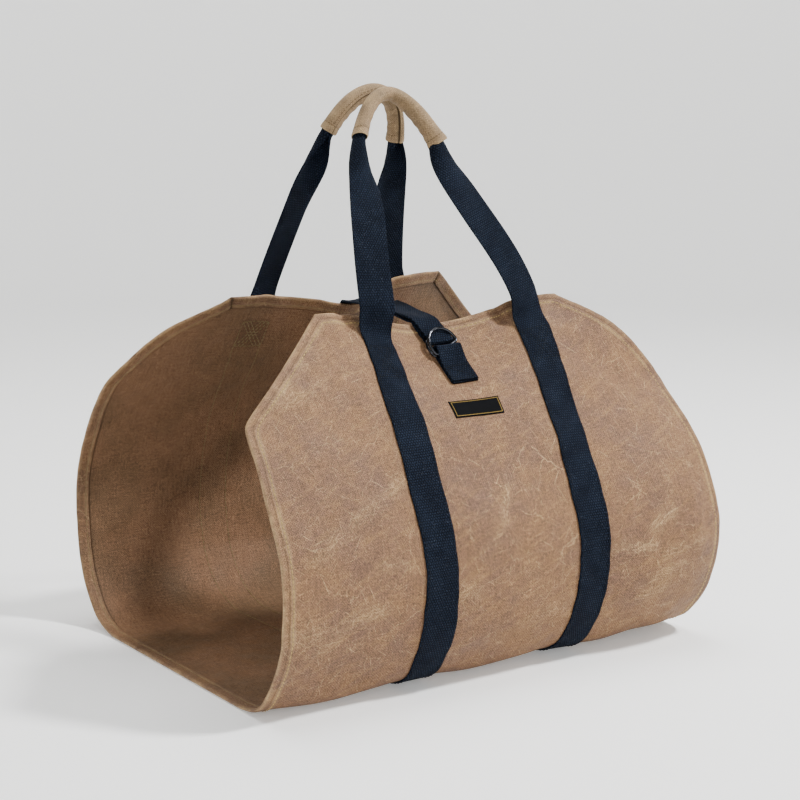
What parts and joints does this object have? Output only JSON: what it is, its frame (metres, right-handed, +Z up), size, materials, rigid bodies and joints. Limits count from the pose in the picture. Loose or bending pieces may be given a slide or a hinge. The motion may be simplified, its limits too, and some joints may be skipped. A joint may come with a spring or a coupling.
{
  "type": "log carrier",
  "caption": "Waxed-canvas log carrier: a sling open at both ends and along the top, on webbing straps that meet in sleeved grips, closed by a narrow strap through D-rings.",
  "frame": {"origin": "on the floor under the middle of the bounding box", "axes": "+X along the carrier from its left open end to its right one, -Y towards the front panel with the rings, +Z up"},
  "size_m": [0.4551, 0.3847, 0.4999],
  "materials": {
    "waxed_canvas": "waxed, faintly mottled and scuffed",
    "grip_canvas": "waxed, matt",
    "webbing": "ribbed weave, matt",
    "ring_steel": "black-plated, polished",
    "label_cloth": "woven, matt, with a plain border"
  },
  "bodies": {
    "root": {"body_canvas": "waxed_canvas", "left_strap": "webbing", "right_strap": "webbing", "front_grip": "grip_canvas", "back_grip": "grip_canvas", "closure_strap": "webbing", "ring_tab": "webbing", "lower_ring": "ring_steel", "upper_ring": "ring_steel", "label_patch": "label_cloth"}
  },
  "joints": []
}
